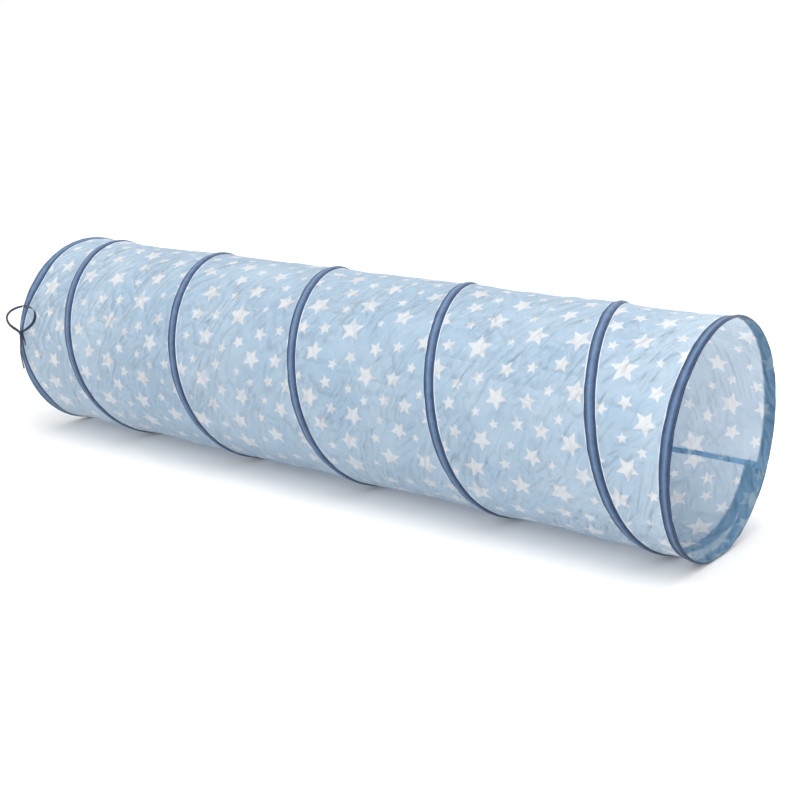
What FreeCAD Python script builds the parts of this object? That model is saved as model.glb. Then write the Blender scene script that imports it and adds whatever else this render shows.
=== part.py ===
"""Pop-up agility tunnel: a cloth sleeve held open by two wire hoops and one spring-wire coil.

Frame: millimetres, +Z up.  The tunnel lies along X with its near hoop at -X and its far hoop
at +X.  The origin is on the floor under the middle of the tunnel.  Angles about the tunnel's
axis are in degrees: 0 at the back (+Y), 90 over the top, 180 at the front, 270 at the floor.
The coil climbs towards +X as its angle grows.  Every round is slightly flattened where it
rests, so each hoop and each coil turn has a straight foot.
"""
import FreeCAD, Part
import math
import os

import Sketcher

from FreeCAD import Placement, Rotation, Vector

os.makedirs("parts", exist_ok=True)
doc = FreeCAD.newDocument("agility_tunnel")

# ---------------------------------------------------------------- driving dimensions
SIZES = {
    "tunnel_length": 1800,      # over the two hoop casings
    "tunnel_diameter": 480,     # over the casings' ridges
    "foot_angle": 15,           # arc at the floor that each round replaces with a straight foot
    "casing_width": 21,         # tape sewn over each wire
    "casing_edge": 0.8,         # tape and cloth where they are stitched together
    "casing_height": 4.2,       # tape tented over the wire
    "ridge_flat": 4,            # narrow flat along the top of the tent
    "coil_tent_half": 7,        # half width of the tent over a coil turn
    "hoop_tent_half": 5,        # half width of the tent over a hoop
    "hoop_tent_shift": 5,       # the hoop's wire lies nearer the rim than the tape's middle
    "channel_diameter": 3.6,    # room inside the tent
    "wire_diameter": 2.2,       # spring wire
    "wire_gap": 0.5,            # between a hoop wire's ends, inside the ferrule
    "ferrule_diameter": 3.2,
    "ferrule_length": 25,
    "ferrule_bore": 2.3,
    "cap_diameter": 3.2,        # moulded cap on each end of the coil wire
    "cap_length": 10,
    "cap_bore": 2.5,
    "cap_bore_depth": 7,
    "cloth_thickness": 0.5,
    "clearance": 0.5,           # between sewn layers and between neighbouring turns
    "seam_angle": -26,          # the sleeve's lengthwise seam, below the back's middle
    "seam_width": 12,
    "seam_height": 0.8,
    "near_run_angle": 48,       # the coil runs level beside the near hoop over this angle
    "far_run_angle": 35,        # and beside the far hoop over this one
    "run_blend_angle": 12,      # how softly a level run turns into the slope
    "hoop_coil_gap": 0.5,       # between a hoop's tape and the level run beside it
    "sleeve_inset": 1,          # cloth ends this far inside the hoop tape's outer edge
    "ribbon_diameter": 2.4,     # tie ribbon, drawn as a plain round cord
    "knot_width": 14,
    "knot_depth": 9,
    "knot_height": 12,
    "knot_round": 2.5,
}
COIL_TURNS = 5
STATION_STEP = 5                # degrees between the sections of a coil turn
FINE_REACH = 5                  # degrees from the coil's ends where there is a section at each one
SEWING_TOLERANCE = 0.001

sheet = doc.addObject("Spreadsheet::Sheet", "Sizes")
for row, (alias, value) in enumerate(SIZES.items(), start=1):
    sheet.set(f"A{row}", alias)
    sheet.set(f"B{row}", str(value))
    sheet.setAlias(f"B{row}", alias)
doc.recompute()


def size(alias):
    return float(sheet.get(alias))


# ---------------------------------------------------------------- values worked out from them
half_foot = size("foot_angle") / 2
FOOT_COS = math.cos(math.radians(half_foot))
ridge_radius = size("tunnel_diameter") / 2
casing_radius = ridge_radius - size("casing_height")
sleeve_radius = casing_radius - size("clearance")
channel_radius = casing_radius + size("casing_height") / 2
axis_height = ridge_radius * FOOT_COS
hoop_place = size("tunnel_length") / 2 - size("casing_width") / 2
gap_angle = math.degrees(size("clearance") / ridge_radius) / 2

# The coil slopes evenly between two level runs.  Its sections stand in planes through the
# tunnel's axis, so what is square to the wire is stretched along X by the slope.
slope_start = size("seam_angle") + size("near_run_angle")
slope_end = size("seam_angle") + 360 * COIL_TURNS - size("far_run_angle")


def coil_stretch(travel):
    rise = travel * 360 / (slope_end - slope_start)
    return math.hypot(1, rise / (2 * math.pi * casing_radius))


hoop_inner_edge = hoop_place - size("casing_width") / 2 - size("hoop_coil_gap")
stretch = coil_stretch(2 * hoop_inner_edge)
coil_end_place = hoop_inner_edge - size("casing_width") / 2 * stretch


def ramp(degrees):
    """Zero before 0 degrees and equal to the angle after it, with a soft corner."""
    return (degrees + math.hypot(degrees, size("run_blend_angle"))) / 2


def coil_place(angle):
    """Where along X the coil is at an angle."""
    rate = 2 * coil_end_place / (slope_end - slope_start)
    return -coil_end_place + rate * (ramp(angle - slope_start) - ramp(angle - slope_end))


def seam_crossing(turn):
    """Angle at which a turn starts; the turn after the last one gives the coil's end."""
    return size("seam_angle") + 360 * turn


# ---------------------------------------------------------------- what goes round the tunnel
def foot_drop(angle, radius):
    """How far the straight foot lies inside the full circle at an angle."""
    from_floor = (angle - 270 + 180) % 360 - 180
    if abs(from_floor) >= half_foot - 1e-6:
        return 0.0
    return radius * (FOOT_COS / math.cos(math.radians(from_floor)) - 1)


def stand(outline, angle, place):
    """A copy of an outline, drawn with X along the tunnel and Y outwards, stood at an angle."""
    lift = Vector(0, foot_drop(angle, channel_radius), 0)
    stood = outline.copy()
    turned = Placement(Vector(place, 0, 0), Rotation(Vector(1, 0, 0), angle))
    stood.Placement = turned * Placement(lift, Rotation())
    return stood


def spans(start, end):
    """Cut a range of angles at the foot's corners: (from, to, is_foot) for each stretch."""
    corners = [start]
    turn = math.floor((start - 270) / 360)
    while 270 + 360 * turn - half_foot < end:
        for corner in (270 + 360 * turn - half_foot, 270 + 360 * turn + half_foot):
            if start < corner < end:
                corners.append(corner)
        turn += 1
    corners.append(end)
    for low, high in zip(corners, corners[1:]):
        middle = (low + high) / 2
        yield low, high, abs((middle - 90) % 360 - 180) < half_foot


def stations(low, high):
    """Angles of the sections between two ends, close together over the caps so they lie true."""
    coil_ends = seam_crossing(0), seam_crossing(COIL_TURNS)
    for angle in range(math.ceil(low + 1), math.floor(high - 1) + 1):
        if angle % STATION_STEP == 0 or min(abs(angle - end) for end in coil_ends) < FINE_REACH:
            yield angle


def skin(outline, start, end, place_at):
    """Faces of an outline carried round, straight between stations that are close together."""
    faces = []
    for low, high, is_foot in spans(start, end):
        if place_at(low) == place_at(high) and not is_foot:
            section = stand(outline, low, place_at(low))
            faces += section.revolve(Vector(0, 0, 0), Vector(1, 0, 0), high - low).Faces
            continue
        between = [] if is_foot else stations(low, high)
        sections = [stand(outline, angle, place_at(angle)) for angle in (low, *between, high)]
        faces += Part.makeLoft(sections, False, True).Faces
    return faces


def carry_round(outlines, start, end, place_at):
    """A solid with the given outlines, the first the outer one, carried round the tunnel."""
    faces = []
    for outline in outlines:
        faces += skin(outline, start, end, place_at)
    for angle in (start, end):
        rims = [stand(outline, angle, place_at(angle)) for outline in outlines]
        faces.append(Part.makeFace(rims, "Part::FaceMakerBullseye"))
    shell = Part.makeShell(faces)
    shell.sewShape(SEWING_TOLERANCE)
    solid = Part.makeSolid(shell)
    if solid.Volume < 0:
        solid.reverse()
    return solid


def tape_outline(tent_middle, tent_half, widen=1.0):
    """Section of a casing tape: stitched edges and a tent over the wire."""
    half_width = size("casing_width") / 2 * widen
    tent_half = tent_half * widen
    ridge_half = size("ridge_flat") / 2 * widen
    edge = casing_radius + size("casing_edge")
    points = [
        (-half_width, casing_radius),
        (half_width, casing_radius),
        (half_width, edge),
        (tent_middle + tent_half, edge),
        (tent_middle + ridge_half, ridge_radius),
        (tent_middle - ridge_half, ridge_radius),
        (tent_middle - tent_half, edge),
        (-half_width, edge),
    ]
    corners = [Vector(along, outwards, 0) for along, outwards in points]
    return Part.makePolygon(corners + corners[:1])


def round_outline(diameter, middle=0.0, widen=1.0):
    """Section of a wire or of its channel."""
    centre = Vector(middle, channel_radius, 0)
    if widen > 1.0:
        curve = Part.Ellipse(centre, diameter / 2 * widen, diameter / 2)
    else:
        curve = Part.Circle(centre, Vector(0, 0, 1), diameter / 2)
    return Part.Wire([curve.toShape()])


def add_feature(label, shape):
    """A part shaped by Part's functions, lifted to the tunnel's axis."""
    feature = doc.addObject("Part::Feature", label)
    feature.Label = label
    feature.Shape = shape
    feature.Placement = Placement(Vector(0, 0, axis_height), Rotation())
    return feature


# ---------------------------------------------------------------- PartDesign helpers
AXIS_HEIGHT = "Sizes.tunnel_diameter / 2 * cos(Sizes.foot_angle / 2)"
CHANNEL_RADIUS = "(Sizes.tunnel_diameter - Sizes.casing_height) / 2"


def new_body(label):
    body = doc.addObject("PartDesign::Body", label)
    body.Label = label
    body.setExpression("Placement.Base.z", AXIS_HEIGHT)
    return body


def new_sketch(body, name, role):
    """A sketch on one of the body's own origin planes."""
    sketch = body.newObject("Sketcher::SketchObject", name)
    plane = next(item for item in body.Origin.OriginFeatures if item.Role == role)
    sketch.AttachmentSupport = [(plane, "")]
    sketch.MapMode = "FlatFace"
    return sketch


def bind(sketch, constraint, name, expression):
    index = sketch.addConstraint(constraint)
    sketch.renameConstraint(index, name)
    sketch.setExpression("Constraints." + name, expression)


def draw_circle(sketch, name, centre_x, centre_y, diameter, start):
    """A circle whose diameter and centre follow the sheet; start is a rough first centre."""
    circle = sketch.addGeometry(Part.Circle(Vector(*start, 0), Vector(0, 0, 1), 2))
    bind(sketch, Sketcher.Constraint("Diameter", circle, 4), name + "_diameter", diameter)
    bind(sketch, Sketcher.Constraint("DistanceX", -1, 1, circle, 3, start[0]), name + "_x", centre_x)
    bind(sketch, Sketcher.Constraint("DistanceY", -1, 1, circle, 3, start[1]), name + "_y", centre_y)


def draw_footed_round(sketch, name, radius_expression, radius):
    """A circle whose bottom is its own chord: one arc and one level line."""
    side = radius * math.sin(math.radians(half_foot))
    floor = -radius * FOOT_COS
    arc_start = math.radians(-90 + half_foot)
    arc_end = math.radians(270 - half_foot)
    circle = Part.Circle(Vector(0, 0, 0), Vector(0, 0, 1), radius)
    arc = sketch.addGeometry(Part.ArcOfCircle(circle, arc_start, arc_end))
    foot = sketch.addGeometry(Part.LineSegment(Vector(-side, floor, 0), Vector(side, floor, 0)))
    sketch.addConstraint(Sketcher.Constraint("Coincident", arc, 3, -1, 1))
    sketch.addConstraint(Sketcher.Constraint("Coincident", foot, 2, arc, 1))
    sketch.addConstraint(Sketcher.Constraint("Coincident", foot, 1, arc, 2))
    sketch.addConstraint(Sketcher.Constraint("Horizontal", foot))
    bind(sketch, Sketcher.Constraint("Radius", arc, radius), name + "_radius", radius_expression)
    side_expression = f"{radius_expression} * sin(Sizes.foot_angle / 2)"
    bind(sketch, Sketcher.Constraint("DistanceX", -1, 1, foot, 2, side), name + "_foot", side_expression)


def draw_rectangle(sketch, low, high):
    """Four lines joined at their ends; returns the indices bottom, right, top, left."""
    corners = [
        Vector(low[0], low[1], 0),
        Vector(high[0], low[1], 0),
        Vector(high[0], high[1], 0),
        Vector(low[0], high[1], 0),
    ]
    lines = []
    for start, end in zip(corners, corners[1:] + corners[:1]):
        lines.append(sketch.addGeometry(Part.LineSegment(start, end)))
    for line, following in zip(lines, lines[1:] + lines[:1]):
        sketch.addConstraint(Sketcher.Constraint("Coincident", line, 2, following, 1))
    for line in (lines[0], lines[2]):
        sketch.addConstraint(Sketcher.Constraint("Horizontal", line))
    for line in (lines[1], lines[3]):
        sketch.addConstraint(Sketcher.Constraint("Vertical", line))
    return lines




subparts = []


# ---------------------------------------------------------------- hoops
def hoop_wire(name, tent_middle):
    """Spring wire bent round, with its ends meeting in the ferrule on the foot."""
    gap = math.degrees(size("wire_gap") / 2 / channel_radius)
    outline = round_outline(size("wire_diameter"), tent_middle)
    return add_feature(name, carry_round([outline], 270 + gap, 630 - gap, lambda angle: 0.0))


def hoop_casing(name, tent_middle):
    """Tape sewn round the sleeve's end over the hoop wire; its ends butt at the sleeve's seam."""
    start = seam_crossing(0) + gap_angle
    end = seam_crossing(1) - gap_angle
    tape = tape_outline(tent_middle, size("hoop_tent_half"))
    channel = round_outline(size("channel_diameter"), tent_middle)
    return add_feature(name, carry_round([tape, channel], start, end, lambda angle: 0.0))


def hoop_ferrule(name, place_expression, start_place):
    """Straight crimp ferrule over the wire's two ends, on the foot."""
    body = new_body(name)
    sketch = new_sketch(body, name + "_section", "XZ_Plane")
    foot_height = f"-{CHANNEL_RADIUS} * cos(Sizes.foot_angle / 2)"
    start = (start_place, -channel_radius)
    draw_circle(sketch, "outside", place_expression, foot_height, "Sizes.ferrule_diameter", start)
    draw_circle(sketch, "bore", place_expression, foot_height, "Sizes.ferrule_bore", start)
    pad = body.newObject("PartDesign::Pad", name + "_pad")
    pad.Profile = sketch
    pad.Midplane = True
    pad.setExpression("Length", "Sizes.ferrule_length")
    return body


for side, name in ((-1, "near"), (1, "far")):
    wire_shift = side * size("hoop_tent_shift")
    wire = hoop_wire(f"{name}_hoop_wire", wire_shift)
    casing = hoop_casing(f"{name}_hoop_casing", wire_shift)
    for feature in (wire, casing):
        feature.Placement = Placement(Vector(side * hoop_place, 0, axis_height), Rotation())
    sign = "-" if side < 0 else ""
    middle = "((Sizes.tunnel_length - Sizes.casing_width) / 2 + Sizes.hoop_tent_shift)"
    ferrule = hoop_ferrule(f"{name}_hoop_ferrule", sign + middle, side * hoop_place)
    subparts += [wire, ferrule, casing]


# ---------------------------------------------------------------- coil
def coil_turn(turn):
    """One turn of the coil's wire and of the tape over it, cut at the sleeve's seam."""
    start = seam_crossing(turn) + gap_angle
    end = seam_crossing(turn + 1) - gap_angle
    cap_floor = size("cap_length") - size("cap_bore_depth") + size("clearance")
    cap_angle = math.degrees(cap_floor / channel_radius)
    wire_start = start + (cap_angle if turn == 0 else 0)
    wire_end = end - (cap_angle if turn == COIL_TURNS - 1 else 0)
    wire = round_outline(size("wire_diameter"), 0.0, stretch)
    tape = tape_outline(0.0, size("coil_tent_half"), stretch)
    channel = round_outline(size("channel_diameter"), 0.0, stretch)
    wire_shape = carry_round([wire], wire_start, wire_end, coil_place)
    casing_shape = carry_round([tape, channel], start, end, coil_place)
    return [
        add_feature(f"coil_wire_turn_{turn + 1}", wire_shape),
        add_feature(f"coil_casing_turn_{turn + 1}", casing_shape),
    ]


def coil_cap(name, place, open_angle, direction):
    """Moulded cap over the coil wire's cut end; it opens at open_angle, bored along direction."""
    body = new_body(name)
    body.Placement = Placement(Vector(place, 0, axis_height), Rotation(Vector(1, 0, 0), open_angle))
    body.setExpression("Placement.Base.z", AXIS_HEIGHT)
    for part, diameter, length in (
        ("outside", "Sizes.cap_diameter", "Sizes.cap_length"),
        ("bore", "Sizes.cap_bore", "Sizes.cap_bore_depth"),
    ):
        sketch = new_sketch(body, f"{name}_{part}", "XY_Plane")
        start = (0.0, channel_radius)
        draw_circle(sketch, part, "0", CHANNEL_RADIUS, diameter, start)
        kind = "PartDesign::Revolution" if part == "outside" else "PartDesign::Groove"
        turn = body.newObject(kind, f"{name}_{part}_turn")
        turn.Profile = sketch
        turn.ReferenceAxis = (sketch, ["H_Axis"])
        turn.Reversed = direction < 0
        turn.setExpression("Angle", f"{length} / ({CHANNEL_RADIUS}) * 180 / pi")
    return body


for turn in range(COIL_TURNS):
    subparts += coil_turn(turn)

cap_span = math.degrees(size("cap_length") / channel_radius)
near_open = seam_crossing(0) + gap_angle + cap_span
far_open = seam_crossing(COIL_TURNS) - gap_angle - cap_span
subparts.append(coil_cap("coil_cap_near", coil_place(near_open), near_open, -1))
subparts.append(coil_cap("coil_cap_far", coil_place(far_open), far_open, 1))


# ---------------------------------------------------------------- sleeve
def sleeve_bay(turn):
    """The sleeve's cloth between two crossings of the coil over the lengthwise seam."""
    start = coil_place(seam_crossing(turn)) + size("clearance") / 2
    end = coil_place(seam_crossing(turn + 1)) - size("clearance") / 2
    if turn == 0:
        start = -size("tunnel_length") / 2 + size("sleeve_inset")
    if turn == COIL_TURNS - 1:
        end = size("tunnel_length") / 2 - size("sleeve_inset")
    name = f"sleeve_bay_{turn + 1}"
    body = new_body(name)
    body.Placement = Placement(Vector(start, 0, axis_height), Rotation())
    body.setExpression("Placement.Base.z", AXIS_HEIGHT)

    wall = new_sketch(body, name + "_wall", "YZ_Plane")
    outside = "(Sizes.tunnel_diameter / 2 - Sizes.casing_height - Sizes.clearance)"
    inside = outside[:-1] + " - Sizes.cloth_thickness)"
    inner_radius = sleeve_radius - size("cloth_thickness")
    draw_footed_round(wall, "outside", outside, sleeve_radius)
    draw_footed_round(wall, "inside", inside, inner_radius)
    pad = body.newObject("PartDesign::Pad", name + "_pad")
    pad.Profile = wall
    pad.Length = end - start

    seam = new_sketch(body, name + "_seam", "YZ_Plane")
    seam.AttachmentOffset = Placement(Vector(0, 0, 0), Rotation(Vector(0, 0, 1), size("seam_angle")))
    half = size("seam_width") / 2
    middle_of_wall = inner_radius + size("cloth_thickness") / 2
    lines = draw_rectangle(seam, (inner_radius - size("seam_height"), -half), (middle_of_wall, half))
    inner_face = f"{inside} - Sizes.seam_height"
    outer_face = f"{inside} + Sizes.cloth_thickness / 2"
    bind(seam, Sketcher.Constraint("DistanceX", -1, 1, lines[0], 1, 1), "inner_face", inner_face)
    bind(seam, Sketcher.Constraint("DistanceX", -1, 1, lines[1], 1, 1), "outer_face", outer_face)
    bind(seam, Sketcher.Constraint("DistanceY", lines[1], 1, lines[1], 2, 1), "width", "Sizes.seam_width")
    bind(seam, Sketcher.Constraint("DistanceY", -1, 1, lines[1], 2, 1), "half", "Sizes.seam_width / 2")
    ridge = body.newObject("PartDesign::Pad", name + "_seam_pad")
    ridge.Profile = seam
    ridge.Length = end - start
    return body


for turn in range(COIL_TURNS):
    subparts.append(sleeve_bay(turn))


# ---------------------------------------------------------------- tie
# A ribbon sewn by its middle to the near hoop's tape.  Its two strands bow out either side,
# meet in a knot and hang.  Points are from the tape's ridge at the sewn place: outwards from
# the hoop along X, away from the tunnel along -Y, and down along -Z.
SEWN_ANGLE = 158.0
LONG_STRAND = [
    (-1.6, -1.6, 0.6), (-14, -16, -2), (-35, -30, -22), (-26, -30, -46), (16, -25.5, -60),
    (14, -26.5, -84), (9, -26, -110), (12, -25.5, -132), (18, -25.5, -153),
]
SHORT_STRAND = [
    (1.6, -1.6, 0.6), (30, -8, 4), (56, -13, 2), (69, -18, -14), (60, -22, -34), (38, -25, -50),
    (17, -25.5, -60), (30, -27.5, -76), (33, -27, -92),
]
KNOT_MIDDLE = (17, -25.5, -60)
sewn_point = Vector(
    -hoop_place - size("hoop_tent_shift"),
    ridge_radius * math.cos(math.radians(SEWN_ANGLE)),
    axis_height + ridge_radius * math.sin(math.radians(SEWN_ANGLE)),
)


def rounded_path(points):
    """Straight runs joined by tangent arcs, each as large as its two runs allow."""
    edges = []
    last = points[0]
    for before, corner, after in zip(points, points[1:], points[2:]):
        back = before - corner
        ahead = after - corner
        reach = 0.45 * min(back.Length, ahead.Length)
        arc_start = corner + back.normalize() * reach
        arc_end = corner + ahead.normalize() * reach
        half_turn = (math.pi - back.getAngle(ahead)) / 2
        radius = reach / math.tan(half_turn)
        inward = (back + ahead).normalize()
        centre = corner + inward * (radius / math.cos(half_turn))
        edges.append(Part.LineSegment(last, arc_start).toShape())
        edges.append(Part.Arc(arc_start, centre - inward * radius, arc_end).toShape())
        last = arc_end
        print(f"  bend radius {radius:.1f} mm")
    edges.append(Part.LineSegment(last, points[-1]).toShape())
    return Part.Wire(edges)


def strand(name, points):
    """One strand of the tie, up to the knot and out of it again."""
    print(name)
    route = [sewn_point + Vector(*point) for point in points]
    path = rounded_path(route)
    section = Part.Circle(route[0], route[1] - route[0], size("ribbon_diameter") / 2)
    tube = path.makePipe(Part.Face(Part.Wire([section.toShape()])))
    expected = math.pi * size("ribbon_diameter") ** 2 / 4 * path.Length
    print(f"  length {path.Length:.1f} mm, volume {tube.Volume:.1f} of {expected:.1f} mm3")
    whole = doc.addObject("Part::Feature", name + "_whole")
    whole.Shape = tube
    cut = doc.addObject("Part::Cut", name)
    cut.Label = name
    cut.Base = whole
    cut.Tool = knot
    return cut


knot_block = doc.addObject("Part::Box", "knot_block")
knot_block.setExpression("Length", "Sizes.knot_width")
knot_block.setExpression("Width", "Sizes.knot_depth")
knot_block.setExpression("Height", "Sizes.knot_height")
knot_half = Vector(size("knot_width") / 2, size("knot_depth") / 2, size("knot_height") / 2)
knot_block.Placement = Placement(sewn_point + Vector(*KNOT_MIDDLE) - knot_half, Rotation())
knot = doc.addObject("Part::Fillet", "tie_knot")
knot.Label = "tie_knot"
knot.Base = knot_block
knot.Edges = [(edge, size("knot_round"), size("knot_round")) for edge in range(1, 13)]
doc.recompute()
subparts.append(knot)
subparts.append(strand("tie_strand_long", LONG_STRAND))
subparts.append(strand("tie_strand_short", SHORT_STRAND))

# ---------------------------------------------------------------- check and write
doc.recompute()
for item in doc.Objects:
    if "Invalid" in item.State or "Error" in item.State:
        raise RuntimeError(f"{item.Label} failed: {item.State}")
for item in subparts:
    if item.Shape.isNull() or not item.Shape.isValid():
        raise RuntimeError(f"{item.Label} has no valid shape")
for item in subparts:
    item.Shape.exportStep(f"parts/{item.Label}.step")
    print(item.Label, round(item.Shape.Volume, 1), len(item.Shape.Solids))
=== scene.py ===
"""Looks of a pop-up agility tunnel: one cloth sleeve on a wire hoop at each end and a coil between."""
import math

import bpy
import numpy as np
from mathutils import Euler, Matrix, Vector


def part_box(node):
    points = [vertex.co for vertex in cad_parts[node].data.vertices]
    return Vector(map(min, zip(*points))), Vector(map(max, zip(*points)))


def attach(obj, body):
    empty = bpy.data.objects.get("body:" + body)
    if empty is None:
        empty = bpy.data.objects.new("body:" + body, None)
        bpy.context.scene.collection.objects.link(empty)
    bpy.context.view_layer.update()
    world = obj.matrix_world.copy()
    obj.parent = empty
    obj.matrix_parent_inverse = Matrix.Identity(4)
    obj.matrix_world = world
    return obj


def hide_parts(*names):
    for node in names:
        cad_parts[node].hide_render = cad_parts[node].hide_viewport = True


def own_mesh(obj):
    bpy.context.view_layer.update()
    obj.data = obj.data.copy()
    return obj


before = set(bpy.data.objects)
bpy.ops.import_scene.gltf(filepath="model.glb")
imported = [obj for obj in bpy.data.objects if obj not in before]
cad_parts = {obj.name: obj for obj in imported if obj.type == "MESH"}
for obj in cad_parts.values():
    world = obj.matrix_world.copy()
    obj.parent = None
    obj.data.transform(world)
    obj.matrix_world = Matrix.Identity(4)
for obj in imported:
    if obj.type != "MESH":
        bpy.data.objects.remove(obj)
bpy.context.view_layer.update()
bpy.ops.object.select_all(action="DESELECT")

# ------------------------------------------------------------------ camera
# A camera at waist height, off the far hoop's front quarter.  It looks a little down and along
# the tunnel, through a lens long enough that the near rings don't loom.
LENS = 61.9
LOOK_DOWN = 14.44
LOOK_ALONG = 37.07
camera_data = bpy.data.cameras.new("camera")
camera_data.sensor_width = 36
camera_data.lens = LENS
camera_data.clip_end = 50
camera = bpy.data.objects.new("camera", camera_data)
camera.location = (1.917, -2.373, 0.963)
camera.rotation_euler = Euler((math.radians(90 - LOOK_DOWN), 0, math.radians(LOOK_ALONG)))
bpy.context.collection.objects.link(camera)
bpy.context.scene.camera = camera

# ------------------------------------------------------------------ tie ribbon
# A narrow woven ribbon, sewn by its middle to the near hoop's tape.  Its two strands bow out
# either side, meet in a loose knot and hang, with a frayed end on the longer one.
RIBBON_WIDTH = 0.008
RIBBON_THICKNESS = 0.0005
RIBBON_THREADS = 900
SEWN_ANGLE = math.radians(158)
# Each strand's points from the sewn place, in millimetres, and how far the flat ribbon is turned
# about its own line at each of them, in degrees.
LONG_STRAND = [
    (-1.6, -1.6, 0.6), (-14, -16, -2), (-35, -30, -22), (-26, -30, -46), (16, -25.5, -60),
    (14, -26.5, -84), (9, -26, -110), (12, -25.5, -132), (18, -25.5, -153),
]
LONG_TURNS = [60, 55, 45, 45, 40, 50, 60, 60, 55]
SHORT_STRAND = [
    (1.6, -1.6, 0.6), (30, -8, 4), (56, -13, 2), (69, -18, -14), (60, -22, -34), (38, -25, -50),
    (17, -25.5, -60), (30, -27.5, -76), (33, -27, -92),
]
SHORT_TURNS = [30, 30, 40, 70, 90, 90, 60, 40, 30]
KNOT_MIDDLE = (17, -25.5, -60)
KNOT_POINTS = 24
KNOT_RADIUS = 0.0026
KNOT_SWELL = 0.0016
KNOT_DEPTH = 0.0022
KNOT_HALF_WIDTH = 0.0022
near_tape_low, near_tape_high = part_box("near_hoop_casing")
near_wire_low, near_wire_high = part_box("near_hoop_wire")
ridge_radius = near_tape_high.y
axis_height = near_tape_high.z - ridge_radius
sewn_point = Vector((
    (near_wire_low.x + near_wire_high.x) / 2,
    ridge_radius * math.cos(SEWN_ANGLE),
    axis_height + ridge_radius * math.sin(SEWN_ANGLE),
))


def wires(tree, *pairs):
    """Join sockets of a node tree."""
    for source, target in pairs:
        tree.links.new(source, target)


def new_material(name):
    """A material with an empty tree; returns it, its tree and a function that adds a node."""
    material = bpy.data.materials.new(name)
    material.use_nodes = True
    tree = material.node_tree
    tree.nodes.clear()

    def add(kind, **settings):
        node = tree.nodes.new("ShaderNode" + kind)
        for key, value in settings.items():
            if hasattr(node, key):
                setattr(node, key, value)
            else:
                node.inputs[key.replace("_", " ")].default_value = value
        return node

    return material, tree, add


def colour_stops(ramp_node, *stops):
    """Set a colour ramp's stops, each a place from 0 to 1 and a colour."""
    elements = ramp_node.color_ramp.elements
    while len(elements) < len(stops):
        elements.new(0.5)
    for element, (place, colour) in zip(elements, stops):
        element.position = place
        element.color = (*colour, 1)


def ribbon_cloth():
    """Navy polyester ribbon: cross threads in relief, with mottled colour between two tones."""
    material, tree, add = new_material("navy_ribbon")
    place = add("TexCoord").outputs["Object"]
    mottle = add("TexNoise", Scale=90.0, Detail=4.0)
    tone = add("ValToRGB")
    colour_stops(tone, (0.3, (0.006, 0.012, 0.036)), (0.7, (0.016, 0.030, 0.072)))
    warp = add("TexWave", wave_type="BANDS", bands_direction="X", Scale=RIBBON_THREADS)
    weft = add("TexWave", wave_type="BANDS", bands_direction="DIAGONAL", Scale=RIBBON_THREADS)
    weave = add("Math", operation="MULTIPLY")
    bump = add("Bump", Strength=0.25, Distance=0.0003)
    shader = add(
        "BsdfPrincipled", Roughness=0.5, Sheen_Weight=0.1, Sheen_Roughness=0.4, Specular_IOR_Level=0.35,
    )
    output = add("OutputMaterial")
    wires(
        tree,
        (place, mottle.inputs["Vector"]),
        (place, warp.inputs["Vector"]),
        (place, weft.inputs["Vector"]),
        (mottle.outputs["Fac"], tone.inputs["Fac"]),
        (tone.outputs["Color"], shader.inputs["Base Color"]),
        (warp.outputs["Fac"], weave.inputs[0]),
        (weft.outputs["Fac"], weave.inputs[1]),
        (weave.outputs[0], bump.inputs["Height"]),
        (bump.outputs["Normal"], shader.inputs["Normal"]),
        (shader.outputs[0], output.inputs["Surface"]),
    )
    return material


ribbon_material = ribbon_cloth()


def spline_curve(name, points):
    """A smooth open curve with the given control points."""
    data = bpy.data.curves.new(name, "CURVE")
    data.dimensions = "3D"
    spline = data.splines.new("NURBS")
    spline.points.add(len(points) - 1)
    for point, place in zip(spline.points, points):
        point.co = (*place, 1)
    spline.order_u = 3
    spline.use_endpoint_u = True
    spline.resolution_u = 12
    piece = bpy.data.objects.new(name, data)
    bpy.context.collection.objects.link(piece)
    return piece


def along(piece):
    """Points read along a curve that has no bevel yet."""
    depsgraph = bpy.context.evaluated_depsgraph_get()
    mesh = bpy.data.meshes.new_from_object(piece.evaluated_get(depsgraph))
    points = [vertex.co.copy() for vertex in mesh.vertices]
    bpy.data.meshes.remove(mesh)
    return points


def length_of(points):
    """Length of the line through the points."""
    return sum((b - a).length for a, b in zip(points, points[1:]))


def strand(name, offsets, turns, nodes):
    """A flat ribbon strand through points given from the sewn place, in millimetres."""
    points = [sewn_point + Vector(offset) / 1000 for offset in offsets]
    piece = spline_curve(name, points)
    for point, turn in zip(piece.data.splines[0].points, turns):
        point.tilt = math.radians(turn)
    length = length_of(along(piece))
    piece.data.extrude = RIBBON_WIDTH / 2 - RIBBON_THICKNESS / 2
    piece.data.bevel_depth = RIBBON_THICKNESS / 2
    piece.data.bevel_resolution = 1
    piece.data.materials.append(ribbon_material)
    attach(piece, "near_hoop")
    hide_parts(*nodes)
    return piece, points[0], length


def knot_piece():
    """The overhand knot: two turns of ribbon drawn loosely round each other."""
    middle = sewn_point + Vector(KNOT_MIDDLE) / 1000
    points = []
    for step in range(KNOT_POINTS):
        turn = 2 * math.pi * step / KNOT_POINTS
        ring = KNOT_RADIUS + KNOT_SWELL * math.cos(3 * turn)
        points.append(middle + Vector((
            ring * math.cos(2 * turn) * 1.3,
            KNOT_DEPTH * math.sin(3 * turn),
            ring * math.sin(2 * turn) * 1.1,
        )))
    piece = spline_curve("tie_knot_wrap", points)
    piece.data.splines[0].use_endpoint_u = False
    piece.data.splines[0].use_cyclic_u = True
    piece.data.extrude = KNOT_HALF_WIDTH
    piece.data.bevel_depth = RIBBON_THICKNESS
    piece.data.bevel_resolution = 1
    piece.data.materials.append(ribbon_material)
    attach(piece, "near_hoop")
    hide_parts("tie_knot")
    return piece


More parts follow.
